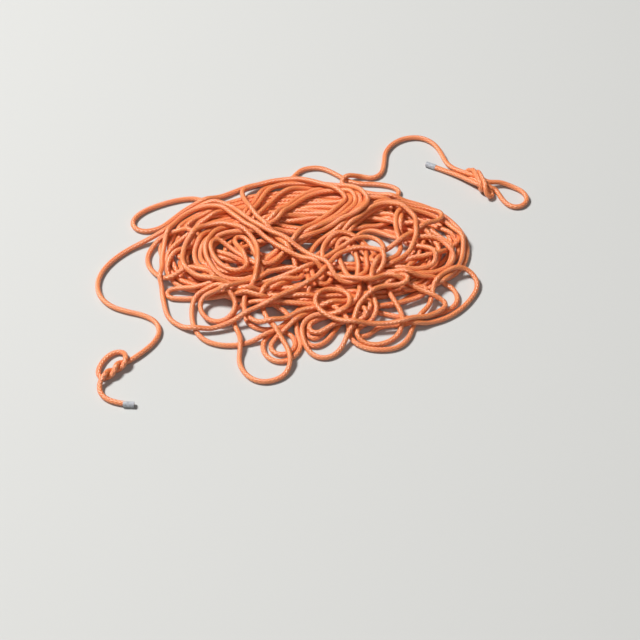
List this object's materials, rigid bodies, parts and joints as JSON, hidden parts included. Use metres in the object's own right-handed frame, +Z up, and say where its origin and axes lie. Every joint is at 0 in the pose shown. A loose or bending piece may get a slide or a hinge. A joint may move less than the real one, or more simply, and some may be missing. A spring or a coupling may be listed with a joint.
{
  "type": "dynamic climbing rope",
  "caption": "Kernmantle climbing rope lying in a loose pile of oval loops, with a knot near each end and a shrunk sleeve on each tip.",
  "frame": {"origin": "On the floor under the middle of the whole rope as it lies: the centre of the bottom face of its box.", "axes": "+Z up, -Y towards the side the pile is seen from, +X to the right from there."},
  "size_m": [0.8529, 0.704, 0.0465],
  "materials": {
    "sheath_polyamide": "woven polyamide 6 sheath, 2 over 2 braid, dry, slightly worn",
    "core_polyamide": "twisted undyed polyamide 6 yarns",
    "shrink_sleeve": "clear heat-shrunk polyolefin, glossy",
    "label_film": "blank printed-side-in film",
    "melted_polyamide": "hot-cut face, melted smooth"
  },
  "bodies": {
    "root": {"pile_sheath": "sheath_polyamide", "pile_core": "core_polyamide", "left_lead_sheath": "sheath_polyamide", "left_lead_core": "core_polyamide", "left_knot_sheath": "sheath_polyamide", "left_knot_core": "core_polyamide", "left_tail_sheath": "sheath_polyamide", "left_tail_core": "core_polyamide", "right_lead_sheath": "sheath_polyamide", "right_lead_core": "core_polyamide", "right_knot_sheath": "sheath_polyamide", "right_knot_core": "core_polyamide", "right_bight_loop_sheath": "sheath_polyamide", "right_bight_loop_core": "core_polyamide", "right_tail_sheath": "sheath_polyamide", "right_tail_core": "core_polyamide", "left_end_strands": "core_polyamide", "left_end_weld": "melted_polyamide", "left_end_label": "label_film", "left_end_sleeve": "shrink_sleeve", "right_end_strands": "core_polyamide", "right_end_weld": "melted_polyamide", "right_end_label": "label_film", "right_end_sleeve": "shrink_sleeve"}
  },
  "joints": []
}
